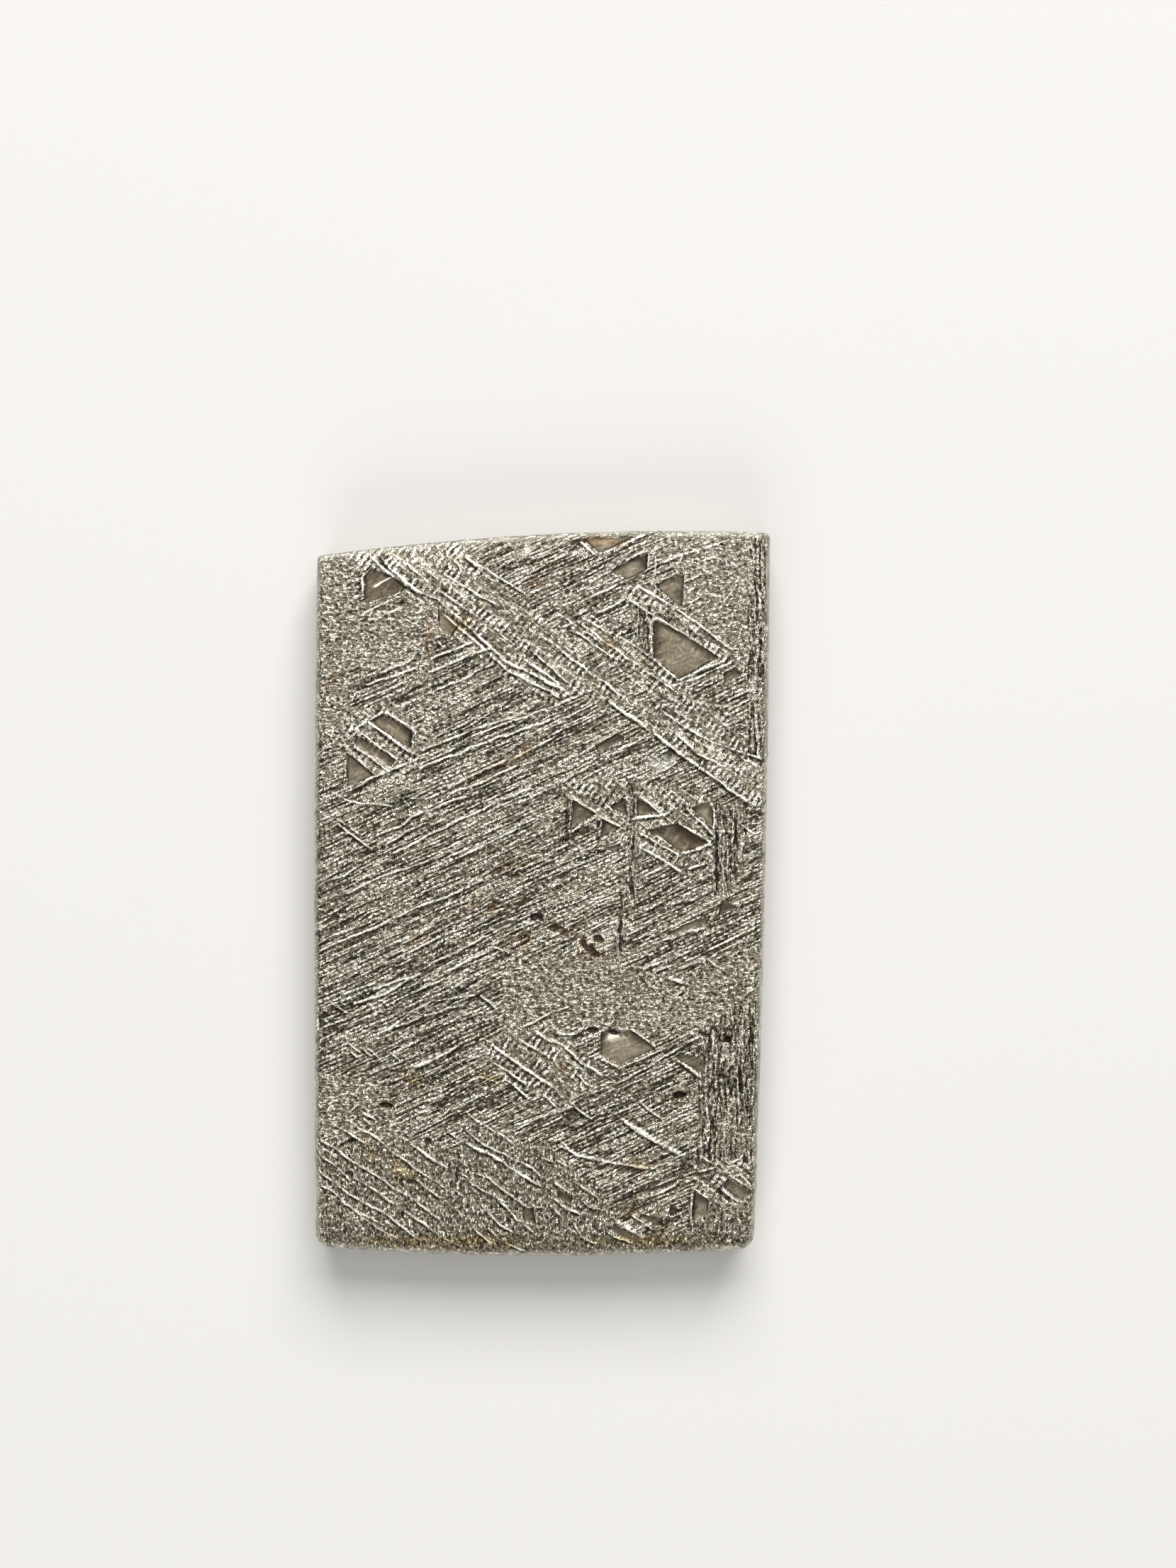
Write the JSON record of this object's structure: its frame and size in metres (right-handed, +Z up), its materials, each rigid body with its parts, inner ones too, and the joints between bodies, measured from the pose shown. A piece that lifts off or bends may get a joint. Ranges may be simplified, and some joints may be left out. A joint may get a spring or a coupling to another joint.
{
  "type": "iron meteorite slice",
  "caption": "Thin rectangular slice of iron meteorite, etched so that crossing crystal ribs and sunken fields show on its face, with rounded edges; lies flat.",
  "frame": {"origin": "under the middle of the slice's bounding box, on the plane that its back rests on", "axes": "+Z up out of the etched face, +Y along the slice's length to its head, +X across it to the right"},
  "size_m": [0.0164, 0.026, 0.003],
  "materials": {
    "etched_iron": "etched nickel-iron, satin grey with bright ribs and brown-black crevices"
  },
  "bodies": {
    "root": {"meteorite_slice": "etched_iron"}
  },
  "joints": []
}
